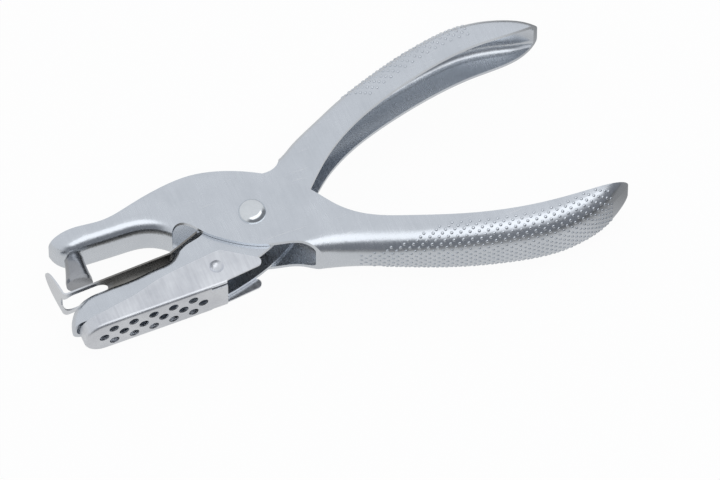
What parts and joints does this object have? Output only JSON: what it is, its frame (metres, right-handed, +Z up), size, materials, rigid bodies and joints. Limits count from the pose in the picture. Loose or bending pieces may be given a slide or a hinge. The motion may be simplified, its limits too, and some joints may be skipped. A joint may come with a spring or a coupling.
{
  "type": "hole punch",
  "caption": "Plier-type hole punch with crossed pressed-steel levers, waisted cutter, paper strip, swinging chip tray and return spring.",
  "frame": {"origin": "on the pivot axis, on the flat centre of the lower rivet head, which is the plane the tool lies on", "axes": "+Z up along the pivot axis with the tool lying on its side, -X towards the jaws, +X towards the handles, +Y from the lower jaw (die) to the upper jaw (cutter)"},
  "size_m": [0.1282, 0.058, 0.0146],
  "materials": {
    "lever_plating": "satin nickel plating over pressed steel",
    "cutter_steel": "turned and hardened steel",
    "strip_steel": "plain bright spring strip",
    "rivet_plating": "bright plating",
    "sleeve_steel": "turned steel",
    "spring_steel": "drawn spring wire",
    "tray_zinc": "galvanised thin sheet, fine rolling scratches"
  },
  "bodies": {
    "punch_side": {"punch_lever": "lever_plating", "punch_pin": "cutter_steel", "pivot_rivet": "rivet_plating", "pivot_sleeve": "sleeve_steel"},
    "die_side": {"die_lever": "lever_plating", "stripper_plate": "strip_steel", "return_spring": "spring_steel"},
    "tray": {"chip_tray": "tray_zinc"}
  },
  "joints": [
    {"name": "lever_pivot", "type": "hinge", "parent": "punch_side", "child": "die_side", "pos_m": [0, 0, 0.0073], "axis": [0, 0, -1], "range_deg": [0, 8.5], "stiffness_Nm_per_rad": 0.8, "springref_deg": -14.32, "deforming": ["return_spring"]},
    {"name": "tray_hinge", "type": "hinge", "parent": "die_side", "child": "tray", "pos_m": [-0.0124, -0.0097, 0.0073], "axis": [0, 0, 1], "range_deg": [0, 16]}
  ]
}
